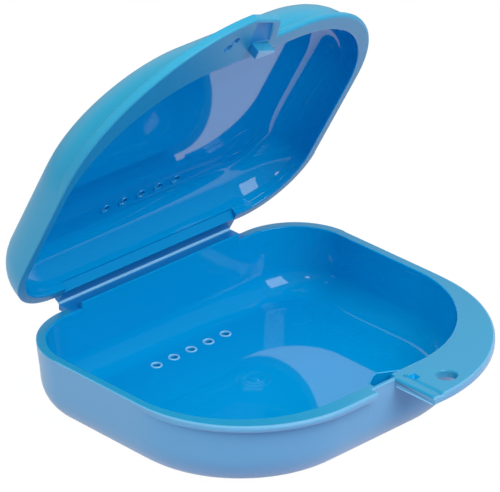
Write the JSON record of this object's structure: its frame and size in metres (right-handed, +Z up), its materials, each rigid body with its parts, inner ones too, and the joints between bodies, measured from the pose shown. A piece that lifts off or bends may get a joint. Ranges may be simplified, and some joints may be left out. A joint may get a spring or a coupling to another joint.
{
  "type": "hinged denture case",
  "caption": "Hinged plastic denture case: rounded tray and domed lid joined by a living hinge, with offset thumb tabs, latch hook, lanyard hole and drain vents.",
  "frame": {"origin": "centre of the flat underside of the base tray, where it rests", "axes": "+X right along the hinge, +Y back towards the hinge, +Z up"},
  "size_m": [0.08, 0.0842, 0.0861],
  "materials": {
    "base_tray": "polished inside, fine matte outside, solid blue polypropylene",
    "base_thumb_tab": "fine matte",
    "catch_bead": "fine matte",
    "base_hinge_leaf": "satin",
    "hinge_film": "polished by flexing, slightly paler",
    "lid_shell": "polished inside, fine matte outside, solid blue polypropylene",
    "lid_thumb_tab": "fine matte",
    "lid_hinge_leaf": "satin",
    "latch_hook": "fine matte"
  },
  "bodies": {
    "base": {"base_tray": "base_tray", "base_thumb_tab": "base_thumb_tab", "catch_bead": "catch_bead", "base_hinge_leaf": "base_hinge_leaf", "hinge_film": "hinge_film"},
    "lid": {"lid_shell": "lid_shell", "lid_thumb_tab": "lid_thumb_tab", "lid_hinge_leaf": "lid_hinge_leaf", "latch_hook": "latch_hook"}
  },
  "joints": [
    {"name": "lid_hinge", "type": "hinge", "parent": "base", "child": "lid", "pos_m": [0, 0.03585, 0.01615], "axis": [-1, 0, 0], "range_deg": [-60, 120]}
  ]
}
